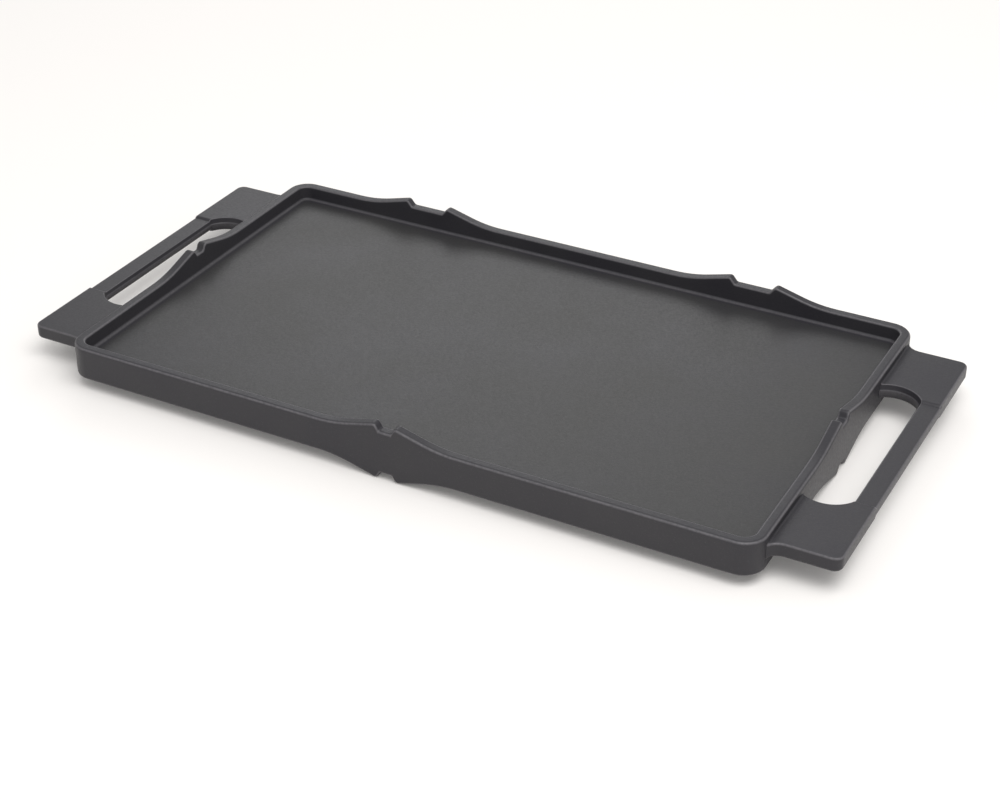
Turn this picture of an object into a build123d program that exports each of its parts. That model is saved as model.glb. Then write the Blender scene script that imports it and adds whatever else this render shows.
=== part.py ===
from build123d import *
import os
from math import asin, cos, pi, radians, sin, sqrt, tan

os.makedirs("parts", exist_ok=True)

# A griddle plate: a shallow rectangular pan with a loop handle at each end.
# Millimetres, +Z up. X runs from handle to handle and Y from front to back.
# The origin is the centre of the surface that the plate stands on.

# ---- Driving dimensions -------------------------------------------------

overall_length = 533.0  # over both handles
pan_length = 454.0
pan_width = 265.5
corner_radius = 14.0  # of the pan, outside, in plan

overall_height = 36.4  # from the lower bump peaks to the upper ones
bump_rise = 7.2  # of each bump beyond the straight rim
rim_thickness = 6.7
well_depth = 9.6  # from the straight rim down to the cooking surface
plate_thickness = 5.0
cove_radius = 2.0  # between the rim and the cooking surface
foot_width = 4.4  # of the rim's foot, which meets the plate
foot_overlap = 0.5  # of the foot into the wall, so that they join

outer_edge_radius = 2.0
inner_edge_radius = 1.2

# Bumps: a long ramp up to a peak, a notch, and the same again mirrored.
ramp_slope_angle = 14.9
ramp_foot_radius = 89.0
peak_radius = 2.5
notch_height = 3.1  # of the notch floors above the straight rim
notch_corner_radius = 2.0

back_bump_spacing = 239.4
back_peak_spacing = 31.0  # peak to peak across a notch
front_peak_spacing = 12.8
end_peak_spacing = 12.0
end_bump_offset = 1.0  # behind the middle of the end wall
wide_notch_side_angle = 50.0  # at the back
narrow_notch_side_angle = 62.0  # at the front and the ends

# Handles
tab_width_over = 230.2  # over the outer edges of the two tabs of one handle
tab_top_drop = 5.6  # below the straight rim
tab_thickness = 9.2
tab_corner_radius = 5.5
tab_root_radius = 9.0  # from a tab's edge round to the pan's corner
tab_edge_radius = 1.5
bar_width = 13.1
bar_recess_top = 1.2  # below the tabs
bar_recess_bottom = 1.4
bar_edge_radius = 2.0
slot_end_radius = 18.0
slot_arc_offset = 15.9  # of the slot's end arcs' centres, from the bar
slot_length = 136.4

TOLERANCE = 0.01  # for telling whether two places are the same

# ---- Worked out from those ----------------------------------------------

half_length = pan_length / 2
half_width = pan_width / 2
rim_bottom = bump_rise
rim_top = overall_height - bump_rise
floor_top = rim_top - well_depth
floor_bottom = floor_top - plate_thickness
foot_inset = rim_thickness + foot_width
# How far the middle of a rounded corner stands in from the straight walls' faces.
corner_sagitta = corner_radius * (1 - sqrt(0.5))

tab_top = rim_top - tab_top_drop
tab_bottom = tab_top - tab_thickness
handle_reach = overall_length / 2
bar_inner = handle_reach - bar_width
slot_arc_x = bar_inner - slot_arc_offset
slot_arc_y = slot_length / 2 - slot_end_radius
slot_wall_y = slot_arc_y + sqrt(slot_end_radius**2 - (slot_arc_x - half_length) ** 2)
bar_end_y = slot_arc_y + sqrt(slot_end_radius**2 - (bar_inner - slot_arc_x) ** 2)
tab_edge_y = tab_width_over / 2

# A tab's root arc touches the pan's corner arc where their centres are in line with it.
corner_x = half_length - corner_radius
corner_y = half_width - corner_radius
root_reach = corner_radius + tab_root_radius
root_y = tab_edge_y + tab_root_radius
root_x = corner_x + sqrt(root_reach**2 - (root_y - corner_y) ** 2)
root_angle = asin((root_y - corner_y) / root_reach)


# ---- Rim walls ----------------------------------------------------------


def bump_corners(centre, peak_spacing, side_angle):
    """Corners of one bump: distance along the wall, rise over the straight rim, radius."""
    half_sum = radians((ramp_slope_angle + side_angle) / 2)
    half_difference = radians((ramp_slope_angle - side_angle) / 2)
    # The corner stands above the rounded peak, whose top is at bump_rise.
    corner_rise = bump_rise + peak_radius * (cos(half_difference) / cos(half_sum) - 1)
    peak = peak_spacing / 2
    ramp_run = corner_rise / tan(radians(ramp_slope_angle))
    floor = peak - (corner_rise - notch_height) / tan(radians(side_angle))
    half = [
        (peak + ramp_run, 0, ramp_foot_radius),
        (peak, corner_rise, peak_radius),
        (floor, notch_height, notch_corner_radius),
    ]
    left = [(centre - along, rise, radius) for along, rise, radius in half]
    right = [(centre + along, rise, radius) for along, rise, radius in reversed(half)]
    return left + right


def rim_side_view(span, bumps):
    """Face of a rim wall seen square-on: its bumps stand above and, mirrored, below."""
    corners = [(-span, 0, 0)] + sum(bumps, []) + [(span, 0, 0)]
    upper = [(along, rim_top + rise) for along, rise, radius in corners]
    lower = [(along, rim_bottom - rise) for along, rise, radius in reversed(corners)]
    radii = [radius for along, rise, radius in corners]
    with BuildLine() as outline:
        FilletPolyline(*upper, *lower, radius=radii + radii[::-1], close=True)
    make_face(outline.edges())


def rim_band_plan(start, end, sector):
    """Plan of the band between two insets from the outer wall, cut to one mitred sector."""
    RectangleRounded(pan_length - 2 * start, pan_width - 2 * start, corner_radius - start)
    inner_size = (pan_length - 2 * end, pan_width - 2 * end)
    RectangleRounded(*inner_size, corner_radius - end, mode=Mode.SUBTRACT)
    Polygon(*sector, align=None, mode=Mode.INTERSECT)


def long_sector(side):
    """Mitred sector of the pan in front (side -1) or behind (side +1)."""
    ridge = half_length - half_width
    return [
        (-half_length, side * half_width),
        (half_length, side * half_width),
        (ridge, 0),
        (-ridge, 0),
    ]


def end_sector(side):
    """Mitred sector of the pan at the left (side -1) or right (side +1)."""
    ridge = half_length - half_width
    return [
        (side * half_length, -half_width),
        (side * half_length, half_width),
        (side * ridge, 0),
    ]


def on_mitre(edge):
    """True for an edge that lies in a wall's end face, where two walls meet."""
    ends = [edge @ 0, edge @ 0.5, edge @ 1]
    gap = half_length - half_width
    return all(abs(abs(point.X) - abs(point.Y) - gap) < TOLERANCE for point in ends)


def rim_edges(wall, inset):
    """The wall's upper and lower long edges on the face at this inset."""
    chosen = ShapeList()
    for edge in wall.edges():
        middle = edge @ 0.5
        across_x = half_length - inset - abs(middle.X)
        across_y = half_width - inset - abs(middle.Y)
        on_face = -TOLERANCE < min(across_x, across_y) < corner_sagitta
        upright = abs((edge % 0.5).Z) > 1 - TOLERANCE
        if on_face and not upright and not on_mitre(edge):
            chosen.append(edge)
    return chosen


def rim_wall(sector, view_plane, bumps):
    """One mitred wall of the rim with its bumps, added to the part being built."""
    with BuildSketch(Plane.XY) as plan:
        rim_band_plan(0, rim_thickness, sector)
    extrude(plan.sketch, amount=overall_height)
    with BuildSketch(view_plane) as side_view:
        rim_side_view(half_length + 1, bumps)
    extrude(side_view.sketch, amount=half_length + 1, both=True, mode=Mode.INTERSECT)


def rim_foot(sector):
    """The foot of a wall, level with the plate that it holds."""
    with BuildSketch(Plane.XY.offset(floor_bottom)) as plan:
        rim_band_plan(rim_thickness - foot_overlap, foot_inset, sector)
    extrude(plan.sketch, amount=plate_thickness)


def cove_edges(wall):
    """The inside corner between a wall and the top of its foot."""
    level = wall.edges().filter_by(lambda edge: abs((edge @ 0.5).Z - floor_top) < TOLERANCE)
    flat = level.filter_by(lambda edge: edge.bounding_box().size.Z < TOLERANCE)

    def in_corner(edge):
        middle = edge @ 0.5
        inset = min(half_length - abs(middle.X), half_width - abs(middle.Y))
        return not on_mitre(edge) and inset < rim_thickness + corner_sagitta

    return flat.filter_by(in_corner)


def bump_span(bump):
    """Where one bump's ramps begin to rise, at its two ends."""
    foot, rise, radius = bump[0]
    other_foot = bump[-1][0]
    lead_in = radius * tan(radians(ramp_slope_angle / 2))
    return [foot - lead_in, other_foot + lead_in]


back_bumps = [
    bump_corners(-back_bump_spacing / 2, back_peak_spacing, wide_notch_side_angle),
    bump_corners(back_bump_spacing / 2, back_peak_spacing, wide_notch_side_angle),
]
front_bumps = [bump_corners(0, front_peak_spacing, narrow_notch_side_angle)]
end_bumps = [bump_corners(end_bump_offset, end_peak_spacing, narrow_notch_side_angle)]

back_names = [
    "back_rim_left",
    "back_left_grate_rest",
    "back_rim_middle",
    "back_right_grate_rest",
    "back_rim_right",
]
front_names = ["front_rim_left", "front_grate_rest", "front_rim_right"]
left_names = ["left_rim_front", "left_grate_rest", "left_rim_rear"]
right_names = ["right_rim_front", "right_grate_rest", "right_rim_rear"]

# Each wall's sector, the plane of its side view, the plane across it, bumps and names.
rim_walls = [
    (long_sector(-1), Plane.XZ, Plane.YZ, front_bumps, front_names),
    (long_sector(1), Plane.XZ, Plane.YZ, back_bumps, back_names),
    (end_sector(-1), Plane.YZ, Plane.ZX, end_bumps, left_names),
    (end_sector(1), Plane.YZ, Plane.ZX, end_bumps, right_names),
]

for sector, view_plane, cross_plane, bumps, names in rim_walls:
    with BuildPart() as wall:
        rim_wall(sector, view_plane, bumps)
        fillet(rim_edges(wall.part, 0), radius=outer_edge_radius)
        fillet(rim_edges(wall.part, rim_thickness), radius=inner_edge_radius)
        rim_foot(sector)
        fillet(cove_edges(wall.part), radius=cove_radius)

    # The wall is divided where its bumps begin, into straight rails and grate rests.
    cuts = [-half_length] + sum(map(bump_span, bumps), []) + [half_length]
    for name, start, end in zip(names, cuts, cuts[1:]):
        with BuildPart() as section:
            add(wall.part)
            with BuildSketch(cross_plane.offset(start)):
                Rectangle(overall_length, overall_length)
            extrude(amount=end - start, mode=Mode.INTERSECT)
        section.part.label = name
        export_step(section.part, f"parts/{name}.step")


# ---- Cooking plate ------------------------------------------------------

with BuildPart() as cooking_plate:
    with BuildSketch(Plane.XY.offset(floor_bottom)):
        RectangleRounded(
            pan_length - 2 * foot_inset,
            pan_width - 2 * foot_inset,
            corner_radius - foot_inset,
        )
    extrude(amount=plate_thickness)

cooking_plate.part.label = "cooking_plate"
export_step(cooking_plate.part, "parts/cooking_plate.step")


# ---- Handles ------------------------------------------------------------


def tab_plan(side, end):
    """Plan of one tab, from the pan's end wall and corner to the end of the grip bar."""

    def corner_point(share):
        """A point on the pan's corner, from the straight wall to the root arc."""
        angle = share * root_angle
        across = corner_x + corner_radius * cos(angle)
        return (side * across, end * (corner_y + corner_radius * sin(angle)))

    def root_point(share):
        """A point on the root arc, from the tab's edge to the pan's corner."""
        angle = share * (pi / 2 - root_angle)
        across = root_x - tab_root_radius * sin(angle)
        return (side * across, end * (root_y - tab_root_radius * cos(angle)))

    slot_wall = (side * half_length, end * slot_wall_y)
    slot_middle = (side * slot_arc_x, end * slot_length / 2)
    slot_bar = (side * bar_inner, end * bar_end_y)
    corners = [
        slot_bar,
        (side * handle_reach, end * bar_end_y),
        (side * handle_reach, end * tab_edge_y),
        root_point(0),
    ]
    with BuildLine() as edge:
        ThreePointArc(slot_wall, slot_middle, slot_bar)
        FilletPolyline(*corners, radius=[0, tab_corner_radius])
        ThreePointArc(root_point(0), root_point(0.5), corner_point(1))
        ThreePointArc(corner_point(1), corner_point(0.5), corner_point(0))
        Line(corner_point(0), slot_wall)
    make_face(edge.edges())


def tab_rim(tab):
    """Upper and lower edges of a tab, without those at the pan and at the grip bar."""
    level = tab.edges().filter_by(lambda edge: edge.bounding_box().size.Z < TOLERANCE)

    def is_free(edge):
        middle = edge @ 0.5
        at_pan = abs(middle.X) < half_length + TOLERANCE
        at_bar = abs(abs(middle.Y) - bar_end_y) < TOLERANCE
        return not (at_pan or at_bar)

    return level.filter_by(is_free)


for side_name, side in (("left", -1), ("right", 1)):
    for end_name, end in (("front", -1), ("rear", 1)):
        with BuildPart() as tab:
            with BuildSketch(Plane.XY.offset(tab_bottom)):
                tab_plan(side, end)
            extrude(amount=tab_thickness)
            fillet(tab_rim(tab.part), radius=tab_edge_radius)
        tab.part.label = f"{side_name}_handle_{end_name}_tab"
        export_step(tab.part, f"parts/{side_name}_handle_{end_name}_tab.step")

    with BuildPart() as grip_bar:
        bar_x = side * (handle_reach - bar_width / 2)
        with BuildSketch(Plane.XY.offset(tab_bottom + bar_recess_bottom)):
            with Locations((bar_x, 0)):
                Rectangle(bar_width, 2 * bar_end_y)
        extrude(amount=tab_thickness - bar_recess_bottom - bar_recess_top)
        fillet(grip_bar.edges().filter_by(Axis.Y), radius=bar_edge_radius)
    grip_bar.part.label = f"{side_name}_grip_bar"
    export_step(grip_bar.part, f"parts/{side_name}_grip_bar.step")
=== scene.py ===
"""The looks of a cast griddle plate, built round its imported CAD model. Metres, +Z up."""

from math import acos, cos, pi, radians, sin, sqrt, tan

import bpy
from mathutils import Matrix, Vector


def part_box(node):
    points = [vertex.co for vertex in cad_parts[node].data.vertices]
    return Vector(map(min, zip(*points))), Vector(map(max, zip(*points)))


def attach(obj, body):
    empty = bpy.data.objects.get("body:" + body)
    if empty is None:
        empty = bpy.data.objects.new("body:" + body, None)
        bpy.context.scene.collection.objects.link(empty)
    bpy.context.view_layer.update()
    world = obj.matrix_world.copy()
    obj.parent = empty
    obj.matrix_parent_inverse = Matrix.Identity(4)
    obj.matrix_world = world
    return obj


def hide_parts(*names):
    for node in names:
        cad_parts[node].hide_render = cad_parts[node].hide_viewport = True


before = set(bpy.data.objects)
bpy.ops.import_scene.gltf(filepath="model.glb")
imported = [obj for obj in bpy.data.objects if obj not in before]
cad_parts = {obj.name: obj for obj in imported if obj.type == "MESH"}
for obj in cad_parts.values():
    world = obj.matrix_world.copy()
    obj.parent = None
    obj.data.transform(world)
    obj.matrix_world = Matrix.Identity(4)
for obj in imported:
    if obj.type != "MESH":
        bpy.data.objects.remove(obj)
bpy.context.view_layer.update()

MM = 0.001

# ---- Places, read from the frame ------------------------------------------

plate_low, plate_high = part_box("cooking_plate")
rail_low, rail_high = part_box("front_rim_left")
end_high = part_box("right_rim_rear")[1]
tab_low, tab_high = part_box("right_handle_rear_tab")
bar_low, bar_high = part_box("right_grip_bar")

half_length = end_high.x
half_width = -rail_low.y
rim_top = rail_high.z
rim_bottom = rail_low.z
bump_rise = rim_bottom  # the lower bump peaks stand on the ground
floor_top = plate_high.z
floor_bottom = plate_low.z
foot_inset = half_width - plate_high.y
handle_reach = bar_high.x
bar_inner = bar_low.x
bar_end = bar_high.y

# ---- Shape, beyond what the boxes say --------------------------------------

corner_radius = 14 * MM
rim_thickness = 6.7 * MM
outer_edge_radius = 2.1 * MM
inner_edge_radius = 1.3 * MM
cove_reach = 2.8 * MM  # the cove is flatter than a round one
cove_height = 1.2 * MM

ramp_slope = radians(14.9)
ramp_foot_radius = 89 * MM
peak_radius = 2.5 * MM
notch_radius = 2.0 * MM
notch_height = 3.1 * MM
wide_notch_side = radians(50)  # at the back
narrow_notch_side = radians(62)  # at the front and the ends

slot_end_radius = 18 * MM
slot_arc_offset = 15.9 * MM
tab_corner_radius = 5.5 * MM
tab_width_over = 230.2 * MM
tab_root_radius = 9.0 * MM
handle_edge_radius = 1.3 * MM
handle_lower_radius = 2.3 * MM
wall_fillet = 0.9 * MM  # where a tab meets the pan
step_half_width = 0.9 * MM  # of the slope between a tab and its bar

# The slot's side has a bead at mid-height, which stands out into the slot.
bead_rise = 3.4 * MM  # over the lower face of the bar
bead_reach = 0.5 * MM
bead_radius = 1.1 * MM
bead_height = 1.3 * MM  # from the bead's tip up to the side above it
slot_waist = 0.1 * MM  # how far back the side is just above the bead
slot_setback = 0.7 * MM  # and at its upper edge
slot_lip_radius = 0.6 * MM
slot_belly_reach = 0.3 * MM
slot_belly_radius = 1.6 * MM  # round its lower edge
bead_round_end = radians(130)  # where the bead's round gives way to the side above it

# ---- How finely the curves are drawn ----------------------------------------

NOTCH_STEPS = 5
PEAK_STEPS = 9
RAMP_FOOT_STEPS = 7
RAMP_SHARES = (0.06, 0.3, 0.65)  # points on the long ramp, from its peak to its foot
WALL_SPACING = 9 * MM
CLOSEST_PLACES = 0.05 * MM
SAME_PLACE = 0.06 * MM
CORNER_STEPS = 12
STEEPEST_LEAN = 1.6  # a fillet gets no taller than this where the rim's top slopes

ROOT_SHARES = (-0.1, 0, 0.014, 0.036, 0.07, 0.115, 0.18, 0.29, 0.45, 0.7, 1)
TAB_SIDE_STEPS = 8
TAB_CORNER_STEPS = 8
TAB_END_STEPS = 12
STEP_ROWS = 3
STEP_SHARES = (0.25, 0.5, 0.75, 1, 1.5)  # rows past the step's middle, in half widths
BAR_STEPS = 7
FACE_STEPS = 9
BELLY_STEPS = 6
BEAD_STEPS = 5
LOWER_EDGE_STEPS = 6

# ---- How much edge wear and painted highlight each point of a fillet gets, from one side of it to the other ----

SMALL_EDGE_WEAR_AND_HIGHLIGHT = (0, 0.6, 1, 1, 0.6, 0)
OUTER_EDGE_WEAR_AND_HIGHLIGHT = (0, 0, 0.3, 1, 1, 0.4, 0, 0)
# Painted highlight along the cove at the wall's foot; the cove gets no real wear.
COVE_HIGHLIGHT = (0, 0.3, 0.6, 0.6, 0.3, 0.1, 0, 0)
# Painted highlight on the slot's bead.
BEAD_HIGHLIGHT = 0.5


# ---- Mesh helpers ----------------------------------------------------------


def arc(radius, start, end, steps):
    """Points (across, up) on an arc about the origin, from one angle to another."""
    angles = [start + (end - start) * i / steps for i in range(steps + 1)]
    return [(radius * cos(a), radius * sin(a)) for a in angles]


def wear_and_highlight_arc(radius, start, end, wear_and_highlight_marks):
    """Points on an arc with how much edge wear and painted highlight each of them gets: (across,
    up, edge).
    """
    spots = arc(radius, start, end, len(wear_and_highlight_marks) - 1)
    return [(*spot, edge) for spot, edge in zip(spots, wear_and_highlight_marks)]


def sloped_arc(centre, radius, start, end, steps):
    """Points on an arc about a centre with the slope at each: (across, up, slope)."""
    spots = arc(radius, start, end, steps)
    return [(centre[0] + across, centre[1] + up, -across / up) for across, up in spots]


def between(a, b, share):
    return a + (b - a) * share


def smooth_share(value, low, high):
    share = min(1, max(0, (value - low) / (high - low)))
    return share * share * (3 - 2 * share)


def finish_mesh(name, points, faces, edge, sharp_angle=38):
    """A smooth-shaded object; edge says how much edge wear and painted highlight each of its points
    gets.
    """
    mesh = bpy.data.meshes.new(name)
    mesh.from_pydata(points, [], faces)
    mesh.validate()
    wear_and_highlight = mesh.attributes.new("edge", "FLOAT", "POINT")
    wear_and_highlight.data.foreach_set("value", edge)
    mesh.shade_smooth()
    mesh.set_sharp_from_angle(angle=radians(sharp_angle))
    piece = bpy.data.objects.new(name, mesh)
    bpy.context.scene.collection.objects.link(piece)
    weigh = piece.modifiers.new("even shading", "WEIGHTED_NORMAL")
    weigh.mode = "FACE_AREA"
    weigh.keep_sharp = True
    return piece


def skin(rows, wrap):
    """Quads over rows of points, each row a closed loop; wrap joins the last row to the first."""
    count = len(rows[0])
    faces = []
    last = len(rows) if wrap else len(rows) - 1
    for i in range(last):
        for j in range(count):
            k = (j + 1) % count
            n = (i + 1) % len(rows)
            faces.append((i * count + j, n * count + j, n * count + k, i * count + k))
    return faces


# ---- The pan's rim ----------------------------------------------------------


def bump_profile(box_low, box_high, notch_side):
    """Half of a bump as (distance from its middle, rise, slope), from the middle outward."""
    half_span = (box_high - box_low) / 2
    half_sum = (ramp_slope + notch_side) / 2
    half_gap = (ramp_slope - notch_side) / 2
    corner_rise = bump_rise + peak_radius * (cos(half_gap) / cos(half_sum) - 1)
    lead_in = ramp_foot_radius * tan(ramp_slope / 2)
    peak = half_span - lead_in - corner_rise / tan(ramp_slope)
    floor = peak - (corner_rise - notch_height) / tan(notch_side)

    # The peak's and the notch corner's arcs, by their centres.
    peak_centre = (peak - peak_radius * sin(half_gap) / cos(half_sum), bump_rise - peak_radius)
    notch_centre = (floor - notch_radius * tan(notch_side / 2), notch_height + notch_radius)
    foot_centre = (half_span, ramp_foot_radius)

    profile = [(0.0, notch_height, 0.0)]
    profile += sloped_arc(notch_centre, notch_radius, -pi / 2, -pi / 2 + notch_side, NOTCH_STEPS)
    peak_start = pi / 2 + notch_side
    profile += sloped_arc(peak_centre, peak_radius, peak_start, pi / 2 - ramp_slope, PEAK_STEPS)
    foot_start = -pi / 2 - ramp_slope
    foot_arc = sloped_arc(foot_centre, ramp_foot_radius, foot_start, -pi / 2, RAMP_FOOT_STEPS)
    peak_end = profile[-1]
    for share in RAMP_SHARES:
        profile.append(tuple(between(a, b, share) for a, b in zip(peak_end, foot_arc[0])))
    return profile + foot_arc


def bump(node, axis, notch_side):
    """A whole bump as {place along the wall: (rise, slope)}, from its node's box."""
    low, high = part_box(node)
    middle = (low[axis] + high[axis]) / 2
    half = bump_profile(low[axis], high[axis], notch_side)
    found = {}
    for along, rise, slope in half:
        found[middle + along] = (rise, slope)
        found[middle - along] = (rise, -slope)
    return found


front_bump = bump("front_grate_rest", 0, narrow_notch_side)
back_bumps = {
    **bump("back_left_grate_rest", 0, wide_notch_side),
    **bump("back_right_grate_rest", 0, wide_notch_side),
}
left_bump = bump("left_grate_rest", 1, narrow_notch_side)
right_bump = bump("right_grate_rest", 1, narrow_notch_side)


def wall_places(straight, *bumps):
    """Places along a wall: every bump's own points, with even steps between them."""
    fixed = sorted({-straight, straight}.union(*bumps))
    kept = [fixed[0]]
    for place in fixed[1:]:
        if place - kept[-1] > CLOSEST_PLACES:
            kept.append(place)
    places = []
    for a, b in zip(kept, kept[1:]):
        steps = max(1, round((b - a) / WALL_SPACING))
        places += [between(a, b, i / steps) for i in range(steps)]
    return places + [kept[-1]]


straight_x = half_length - corner_radius
straight_y = half_width - corner_radius
places_x = wall_places(straight_x, front_bump, back_bumps)
places_y = wall_places(straight_y, left_bump)


def rise_at(bumps, place):
    near = min(bumps, key=lambda known: abs(known - place))
    return bumps[near] if abs(near - place) < SAME_PLACE else (0.0, 0.0)


def wall_stations():
    """(outer point, inward direction, rise, slope) right round the pan, anticlockwise."""
    walls = [
        (places_x, front_bump, lambda p: (p, -half_width), (0, 1)),
        (places_y, right_bump, lambda p: (half_length, p), (-1, 0)),
        (places_x[::-1], back_bumps, lambda p: (p, half_width), (0, -1)),
        (places_y[::-1], left_bump, lambda p: (-half_length, p), (1, 0)),
    ]
    corners = [(1, -1, -pi / 2), (1, 1, 0), (-1, 1, pi / 2), (-1, -1, pi)]
    stations = []
    for (places, bumps, spot, inward), (side, end, start) in zip(walls, corners):
        for place in places:
            rise, slope = rise_at(bumps, place)
            stations.append((Vector(spot(place)), Vector(inward), rise, slope))
        centre = Vector((side * straight_x, end * straight_y))
        for across, up in arc(1, start, start + pi / 2, CORNER_STEPS)[1:-1]:
            outward = Vector((across, up))
            stations.append((centre + outward * corner_radius, -outward, 0.0, 0.0))
    return stations


def rim_section(rise, slope):
    """(inset, height, edge) round the rim's cross-section, from the floor over the top."""
    top = rim_top + rise
    bottom = rim_bottom - rise
    lean = min(STEEPEST_LEAN, sqrt(1 + slope * slope))
    outer = outer_edge_radius
    inner = inner_edge_radius
    inner_middle = rim_thickness - inner

    # Each flat stretch gets a point or two of its own, so that it is shaded flat.
    section = [(foot_inset, floor_top, 0.0)]
    # The cove is painted paler along its middle, as a painted highlight at the wall's foot.
    for across, up, edge in wear_and_highlight_arc(1, -pi / 2, -pi, COVE_HIGHLIGHT):
        inset = rim_thickness + cove_reach * (1 + across)
        section.append((inset, floor_top + cove_height * (1 + up), edge))
    section.append((rim_thickness, between(floor_top + cove_height, top - inner * lean, 0.85), 0.0))
    # The rim's rounded edges are painted paler: partly edge wear, partly painted highlight.
    for across, up, edge in wear_and_highlight_arc(inner, 0, pi / 2, SMALL_EDGE_WEAR_AND_HIGHLIGHT):
        section.append((inner_middle + across, top + (up - inner) * lean, edge))
    for across, up, edge in wear_and_highlight_arc(outer, pi / 2, pi, OUTER_EDGE_WEAR_AND_HIGHLIGHT):
        section.append((outer + across, top + (up - outer) * lean, edge))
    for share in (0.08, 0.92):
        height = between(top - outer * lean, bottom + outer * lean, share)
        section.append((0.0, height, 0.0))
    for across, up, edge in wear_and_highlight_arc(outer, pi, 3 * pi / 2, OUTER_EDGE_WEAR_AND_HIGHLIGHT):
        section.append((outer + across, bottom + (up + outer) * lean, edge))
    for across, up, edge in wear_and_highlight_arc(inner, -pi / 2, 0, SMALL_EDGE_WEAR_AND_HIGHLIGHT):
        section.append((inner_middle + across, bottom + (up + inner) * lean, edge))
    middle = between(bottom + inner * lean, floor_bottom - cove_height, 0.5)
    section.append((rim_thickness, middle, 0.0))
    for across, up in arc(1, pi, pi / 2, len(COVE_HIGHLIGHT) - 1):
        inset = rim_thickness + cove_reach * (1 + across)
        section.append((inset, floor_bottom - cove_height * (1 - up), 0.0))
    section.append((foot_inset, floor_bottom, 0.0))
    return section


stations = wall_stations()


def make_rim():
    points = []
    edges = []
    rows = []
    for spot, inward, rise, slope in stations:
        row = []
        for inset, height, edge in rim_section(rise, slope):
            place = spot + inward * inset
            row.append((place.x, place.y, height))
            edges.append(edge)
        rows.append(row)
        points += row
    faces = [face[::-1] for face in skin(rows, wrap=True)]
    return finish_mesh("rim_walls", points, faces, edges)


# ---- The cooking plate ------------------------------------------------------


def make_plate():
    """A slab whose edge is the rim's foot, point for point, with a grid over each face."""
    ring = [spot + inward * foot_inset for spot, inward, rise, slope in stations]
    corner = CORNER_STEPS // 2
    ring = ring[-corner:] + ring[:-corner]  # it starts in the middle of the front left corner
    across = len(places_x) - 1 + CORNER_STEPS
    along = len(places_y) - 1 + CORNER_STEPS
    front = ring[: across + 1]
    right = ring[across : across + along + 1]
    back = ring[across + along : 2 * across + along + 1][::-1]
    left = (ring[2 * across + along :] + ring[:1])[::-1]

    points = []
    for height in (floor_top, floor_bottom):
        for j in range(along + 1):
            for i in range(across + 1):
                spot = Vector((
                    between(front[i].x, back[i].x, j / along),
                    between(left[j].y, right[j].y, i / across),
                ))
                if j in (0, along):
                    spot = (front if j == 0 else back)[i]
                if i in (0, across):
                    spot = (left if i == 0 else right)[j]
                points.append((spot.x, spot.y, height))

    width = across + 1
    layer = width * (along + 1)
    faces = []
    for j in range(along):
        for i in range(across):
            a = j * width + i
            faces.append((a, a + 1, a + 1 + width, a + width))
            faces.append((layer + a, layer + a + width, layer + a + 1 + width, layer + a + 1))
    border = list(range(width))
    border += [j * width + across for j in range(1, along + 1)]
    border += [along * width + i for i in range(across - 1, -1, -1)]
    border += [j * width for j in range(along - 1, 0, -1)]
    for a, b in zip(border, border[1:] + border[:1]):
        faces.append((a, a + layer, b + layer, b))
    return finish_mesh("cooking_plate_casting", points, faces, [0.0] * len(points))


# ---- Handles ----------------------------------------------------------------

tab_edge = tab_width_over / 2
root_y = tab_edge + tab_root_radius
root_reach = corner_radius + tab_root_radius
root_x = straight_x + sqrt(root_reach**2 - (root_y - straight_y) ** 2)
slot_arc_x = bar_inner - slot_arc_offset
slot_arc_y = bar_end - sqrt(slot_end_radius**2 - slot_arc_offset**2)
bead_tip = bar_low.z + bead_rise


def slot_arc_point(angle):
    """A point on the slot's rear end, and the direction from the slot into the tab."""
    into = Vector((cos(angle), sin(angle)))
    return Vector((slot_arc_x, slot_arc_y)) + into * slot_end_radius, into


def handle_half():
    """Pairs of slot and outer points with directions into the metal, from wall to bar middle."""
    pairs = []
    # Beside the pan the rows run parallel to its wall, and the first is just inside it.
    for share in ROOT_SHARES:
        place = between(half_length, root_x, share)
        slot_angle = acos((place - slot_arc_x) / slot_end_radius)
        turn = acos((root_x - max(place, half_length)) / tab_root_radius)
        inward = Vector((-cos(turn), -sin(turn)))
        outer = Vector((place, root_y - tab_root_radius * sin(turn)))
        pairs.append((*slot_arc_point(slot_angle), outer, inward))

    # Then they fan from the slot's end to the tab's outline.
    outline = []
    start = root_x
    stop = handle_reach - tab_corner_radius
    for i in range(1, TAB_SIDE_STEPS):
        spot = Vector((between(start, stop, i / TAB_SIDE_STEPS), tab_edge))
        outline.append((spot, Vector((0, -1))))
    top = tab_edge - tab_corner_radius
    for across, up in arc(1, pi / 2, 0, TAB_CORNER_STEPS):
        outward = Vector((across, up))
        outline.append((Vector((stop, top)) + outward * tab_corner_radius, -outward))
    base = bar_end + 2 * step_half_width
    for i in range(1, TAB_END_STEPS + 1):
        spot = Vector((handle_reach, between(top, base, i / TAB_END_STEPS)))
        outline.append((spot, Vector((-1, 0))))
    first = acos((start - slot_arc_x) / slot_end_radius)
    last = acos(slot_arc_offset / slot_end_radius)
    for i in range(1, STEP_ROWS + 1):
        spot = Vector((handle_reach, between(base, bar_end, i / STEP_ROWS)))
        outline.append((spot, Vector((-1, 0))))
    for i, (outer, inward) in enumerate(outline, 1):
        angle = between(first, last, i / len(outline))
        pairs.append((*slot_arc_point(angle), outer, inward))

    # The bar: close rows over the step, then wide ones.
    fine = [bar_end - step_half_width * share for share in STEP_SHARES]
    wide = [fine[-1] * (1 - i / BAR_STEPS) for i in range(1, BAR_STEPS + 1)]
    for place in fine + wide:
        slot = Vector((bar_inner, place))
        pairs.append((slot, Vector((1, 0)), Vector((handle_reach, place)), Vector((-1, 0))))
    return pairs


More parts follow.
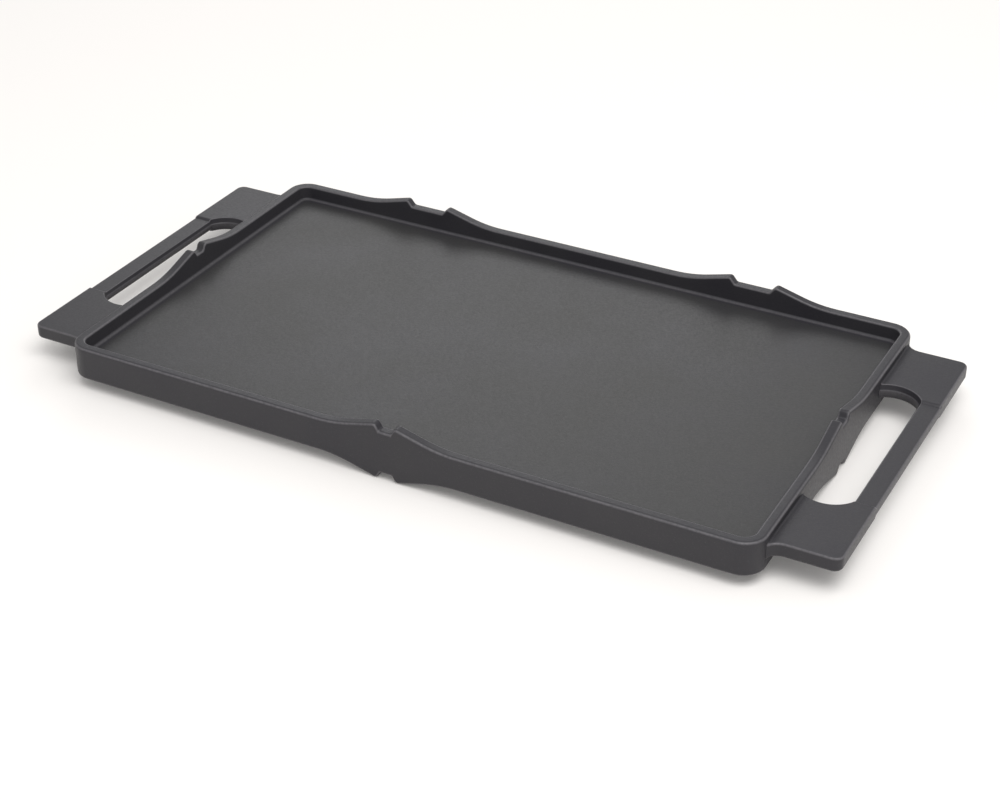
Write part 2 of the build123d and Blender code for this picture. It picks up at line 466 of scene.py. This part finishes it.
def handle_levels(spot):
    """Heights of the handle's upper and lower faces at a place in plan."""
    share = smooth_share(abs(spot.y), bar_end - step_half_width, bar_end + step_half_width)
    off_wall = min(wall_fillet, max(0, abs(spot.x) - half_length))
    flare = wall_fillet - sqrt(wall_fillet**2 - (wall_fillet - off_wall) ** 2)
    upper = between(bar_high.z, tab_high.z, share) + flare
    lower = between(bar_low.z, tab_low.z, share) - flare
    return upper, lower


def handle_section(slot, into, outer, inward):
    """(point, edge) round the handle's cross-section at one pair of plan points."""
    section = []

    def add(base, direction, offset, level, rise, edge=0.0):
        """A point so far in from a side, and so far above one of the section's levels."""
        spot = base + direction * offset
        upper, lower = handle_levels(spot)
        height = {"upper": upper, "lower": lower, "bead": bead_tip}[level] + rise
        section.append(((spot.x, spot.y, height), edge))

    # The slot's side, from the lower face up over the bead to the upper face.
    lower_from = slot_belly_radius - slot_belly_reach
    for across, up in arc(slot_belly_radius, -pi / 2, -pi, BELLY_STEPS):
        add(slot, into, lower_from + across, "lower", slot_belly_radius + up)
    # The bead is painted paler, as a painted highlight.
    for across, up in arc(bead_radius, pi, bead_round_end, BEAD_STEPS):
        add(slot, into, bead_radius - bead_reach + across, "bead", up, BEAD_HIGHLIGHT)
    add(slot, into, slot_waist, "bead", bead_height)
    upper_from = slot_setback + slot_lip_radius
    # The slot's lip is painted paler: partly edge wear, partly painted highlight.
    for across, up, edge in wear_and_highlight_arc(slot_lip_radius, pi, pi / 2, SMALL_EDGE_WEAR_AND_HIGHLIGHT):
        add(slot, into, upper_from + across, "upper", up - slot_lip_radius, edge)

    # Over the upper face to the outer side, and round its two edges.
    radius = handle_edge_radius
    slot_from = slot + into * upper_from
    outer_to = outer + inward * radius
    for i in range(1, FACE_STEPS):
        add(between(slot_from, outer_to, i / FACE_STEPS), inward, 0, "upper", 0)
    # The outer top edge is painted paler: partly edge wear, partly painted highlight.
    for across, up, edge in wear_and_highlight_arc(radius, pi / 2, pi, SMALL_EDGE_WEAR_AND_HIGHLIGHT):
        add(outer, inward, radius + across, "upper", up - radius, edge)
    radius = handle_lower_radius
    for across, up in arc(radius, pi, 3 * pi / 2, LOWER_EDGE_STEPS):
        add(outer, inward, radius + across, "lower", up + radius)

    # Back over the lower face.
    slot_from = slot + into * lower_from
    outer_to = outer + inward * radius
    for i in range(FACE_STEPS - 1, 0, -1):
        add(between(slot_from, outer_to, i / FACE_STEPS), inward, 0, "lower", 0)
    return section


def make_handle(name, side):
    half = handle_half()

    def mirrored(pair):
        return [Vector((v.x, -v.y)) for v in pair]

    pairs = half + [mirrored(pair) for pair in half[-2::-1]]
    rows = [handle_section(*pair) for pair in pairs]
    points = [(x * side, y, z) for row in rows for (x, y, z), edge in row]
    edges = [edge for row in rows for place, edge in row]
    faces = skin(rows, wrap=False)
    count = len(rows[0])
    faces.append(tuple(range(count)))
    faces.append(tuple(range(len(points) - 1, len(points) - count - 1, -1)))
    if side < 0:
        faces = [face[::-1] for face in faces]
    return finish_mesh(name, points, faces, edges)


# ---- Materials ----------------------------------------------------------------


class Nodes:
    """A short way to write a material's node tree."""

    def __init__(self, name):
        self.material = bpy.data.materials.new(name)
        self.material.use_nodes = True
        self.tree = self.material.node_tree
        self.shader = self.tree.nodes["Principled BSDF"]

    def new(self, kind, **settings):
        node = self.tree.nodes.new(kind)
        for key, value in settings.items():
            if hasattr(node, key):
                setattr(node, key, value)
            else:
                node.inputs[key.replace("_", " ")].default_value = value
        return node

    def link(self, source, target):
        self.tree.links.new(source, target)

    def noise(self, where, size, detail=2.0, rough=0.5):
        """Noise whose features are about this size, in metres."""
        node = self.new("ShaderNodeTexNoise", Scale=1 / size, Detail=detail, Roughness=rough)
        self.link(where, node.inputs["Vector"])
        return node.outputs["Fac"]

    def remap(self, source, low, high, to_low, to_high):
        node = self.new("ShaderNodeMapRange")
        self.link(source, node.inputs["Value"])
        node.inputs["From Min"].default_value = low
        node.inputs["From Max"].default_value = high
        node.inputs["To Min"].default_value = to_low
        node.inputs["To Max"].default_value = to_high
        return node.outputs["Result"]

    def math(self, operation, a, b):
        node = self.new("ShaderNodeMath", operation=operation)
        for socket, value in zip(node.inputs, (a, b)):
            if isinstance(value, (int, float)):
                socket.default_value = value
            else:
                self.link(value, socket)
        return node.outputs[0]

    def mix(self, share, a, b):
        node = self.new("ShaderNodeMix", data_type="RGBA")
        self.link(share, node.inputs["Factor"])
        for socket, value in ((node.inputs[6], a), (node.inputs[7], b)):
            if isinstance(value, tuple):
                socket.default_value = (*value, 1)
            else:
                self.link(value, socket)
        return node.outputs[2]

    def bump(self, height, distance, strength, under=None):
        node = self.new("ShaderNodeBump", Strength=strength, Distance=distance)
        self.link(height, node.inputs["Height"])
        if under is not None:
            self.link(under, node.inputs["Normal"])
        return node.outputs["Normal"]


GRAIN_SIZE = 0.55 * MM
PEBBLE_SIZE = 1.6 * MM
CLOUD_SIZE = 60 * MM
GRAIN_DEPTH = 0.05 * MM
PEBBLE_DEPTH = 0.09 * MM
MOST_NOISE = (0.3, 0.7)  # nearly all of a noise's values lie between these
SPECK_NOISE = (0.62, 0.74)  # a pale speck starts at the first and is full at the second
SPECK_STRENGTH = 0.24
# How the pale edge mark, part edge wear and part painted highlight, is broken up and how strong it
# is.
WEAR_AND_HIGHLIGHT_NOISE = (0.25, 0.7)
WEAR_AND_HIGHLIGHT_STRENGTH = (0.35, 0.65)
COATING_ROUGHNESS = 0.42
PEBBLE_ROUGHNESS = 0.05  # each of these three is how far it moves the roughness
CLOUD_ROUGHNESS = 0.03
WORN_SMOOTHNESS = 0.06
COATING_IOR = 1.36


def coating(name, dark, light, wear_and_highlight):
    """Matte non-stick coating on a sand-cast surface, paler and smoother along its marked edges:
    edge wear and painted highlight there, and painted highlight alone on the cove and the bead.
    """
    n = Nodes(name)
    where = n.new("ShaderNodeTexCoord").outputs["Object"]
    grain = n.noise(where, GRAIN_SIZE, detail=3.0, rough=0.6)
    pebble = n.noise(where, PEBBLE_SIZE)
    cloud = n.noise(where, CLOUD_SIZE, detail=3.0, rough=0.55)

    tone = n.mix(n.remap(cloud, *MOST_NOISE, 0, 1), dark, light)
    tone = n.mix(n.remap(grain, *SPECK_NOISE, 0, SPECK_STRENGTH), tone, wear_and_highlight)
    edge = n.new("ShaderNodeAttribute", attribute_name="edge").outputs["Fac"]
    # Paler along the marked edges: edge wear and painted highlight, and painted highlight alone on
    # the cove and the bead.
    rubbed_and_highlit = n.math("MULTIPLY", edge, n.remap(pebble, *WEAR_AND_HIGHLIGHT_NOISE, *WEAR_AND_HIGHLIGHT_STRENGTH))
    n.link(n.mix(rubbed_and_highlit, tone, wear_and_highlight), n.shader.inputs["Base Color"])

    roughest = COATING_ROUGHNESS + PEBBLE_ROUGHNESS
    rough = n.remap(pebble, *MOST_NOISE, COATING_ROUGHNESS - PEBBLE_ROUGHNESS, roughest)
    rough = n.math("ADD", rough, n.remap(cloud, *MOST_NOISE, -CLOUD_ROUGHNESS, CLOUD_ROUGHNESS))
    rough = n.math("SUBTRACT", rough, n.math("MULTIPLY", edge, WORN_SMOOTHNESS))
    n.link(rough, n.shader.inputs["Roughness"])

    fine = n.bump(grain, GRAIN_DEPTH, strength=0.5)
    coarse = n.bump(pebble, PEBBLE_DEPTH, strength=0.45, under=fine)
    n.link(coarse, n.shader.inputs["Normal"])
    n.shader.inputs["IOR"].default_value = COATING_IOR
    return n.material


# The palest colour of each coat is for its specks, its edge wear and its painted highlights.
casting_coat = coating(
    "coated_casting",
    dark=(0.0305, 0.0290, 0.0345),
    light=(0.0390, 0.0375, 0.0410),
    wear_and_highlight=(0.180, 0.172, 0.182),
)
plate_coat = coating(
    "cooking_surface",
    dark=(0.0325, 0.0317, 0.0342),
    light=(0.0415, 0.0408, 0.0405),
    wear_and_highlight=(0.170, 0.165, 0.168),
)

# ---- Pieces -------------------------------------------------------------------

RIM_NODES = [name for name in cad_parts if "_rim_" in name or "_grate_rest" in name]


def dress(piece, material, slot, *nodes):
    """Give a piece its material, hang it from the root, and hide the CAD nodes that it is shown in
    place of.
    """
    piece.data.materials.append(material)
    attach(piece, "root")
    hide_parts(*nodes)


dress(make_plate(), plate_coat, "cooking_surface", "cooking_plate")
dress(make_rim(), casting_coat, "coated_casting", *sorted(RIM_NODES))
for side_name, side in (("left", -1), ("right", 1)):
    handle = make_handle(f"{side_name}_handle_loop", side)
    parts = ("handle_front_tab", "handle_rear_tab", "grip_bar")
    dress(handle, casting_coat, "coated_casting", *(f"{side_name}_{part}" for part in parts))

# ---- Floor, light and camera -----------------------------------------------------


FLOOR_REACH = 8.0
WORLD_STRENGTH = 0.60


def make_floor():
    """A pale floor that glows faintly, so that its shadows stay pale too."""
    mesh = bpy.data.meshes.new("floor")
    reach = FLOOR_REACH
    corners = [(-reach, -reach, 0), (reach, -reach, 0), (reach, reach, 0), (-reach, reach, 0)]
    mesh.from_pydata(corners, [], [(0, 1, 2, 3)])
    floor = bpy.data.objects.new("floor", mesh)
    bpy.context.scene.collection.objects.link(floor)
    material = bpy.data.materials.new("pale_floor")
    material.use_nodes = True
    shader = material.node_tree.nodes["Principled BSDF"]
    shader.inputs["Base Color"].default_value = (0.88, 0.855, 0.83, 1)
    shader.inputs["Emission Color"].default_value = (1, 0.985, 0.97, 1)
    shader.inputs["Emission Strength"].default_value = 0.10
    shader.inputs["Roughness"].default_value = 0.9
    shader.inputs["Specular IOR Level"].default_value = 0.2
    mesh.materials.append(material)


def make_world():
    world = bpy.data.worlds.new("studio")
    world.use_nodes = True
    sky = world.node_tree.nodes["Background"]
    sky.inputs["Color"].default_value = (1.0, 1.0, 1.0, 1)
    sky.inputs["Strength"].default_value = WORLD_STRENGTH
    bpy.context.scene.world = world


def soft_light(name, spot, size, power):
    """A rectangular light of so many watts, aimed at the middle of the plate."""
    light = bpy.data.lights.new(name, "AREA")
    light.shape = "RECTANGLE"
    light.size, light.size_y = size
    light.energy = power
    lamp = bpy.data.objects.new(name, light)
    bpy.context.scene.collection.objects.link(lamp)
    lamp.location = spot
    lamp.rotation_euler = (-Vector(spot)).to_track_quat("-Z", "Y").to_euler()


def make_camera():
    """The camera that the photograph was taken with, found from the perspective of the object."""
    spot = Vector((0.4983, -0.9348, 0.6344))
    forward = Vector((-0.39798, 0.75295, -0.52410)).normalized()
    right = Vector((0.88361, 0.46821, 0.00167))
    right = (right - forward * right.dot(forward)).normalized()
    turn = Matrix((right, right.cross(forward), -forward)).transposed()
    data = bpy.data.cameras.new("camera")
    data.sensor_width = 36
    data.lens = 71.16
    camera = bpy.data.objects.new("camera", data)
    bpy.context.scene.collection.objects.link(camera)
    camera.matrix_world = Matrix.Translation(spot) @ turn.to_4x4()
    bpy.context.scene.camera = camera


make_floor()
make_world()
soft_light("overhead", (0.58, -0.45, 1.6), size=(1.5, 1.2), power=20.5)
soft_light("back_panel", (-0.9, 1.67, 1.13), size=(1.2, 0.8), power=6.3)
make_camera()
bpy.context.scene.view_settings.view_transform = "Standard"
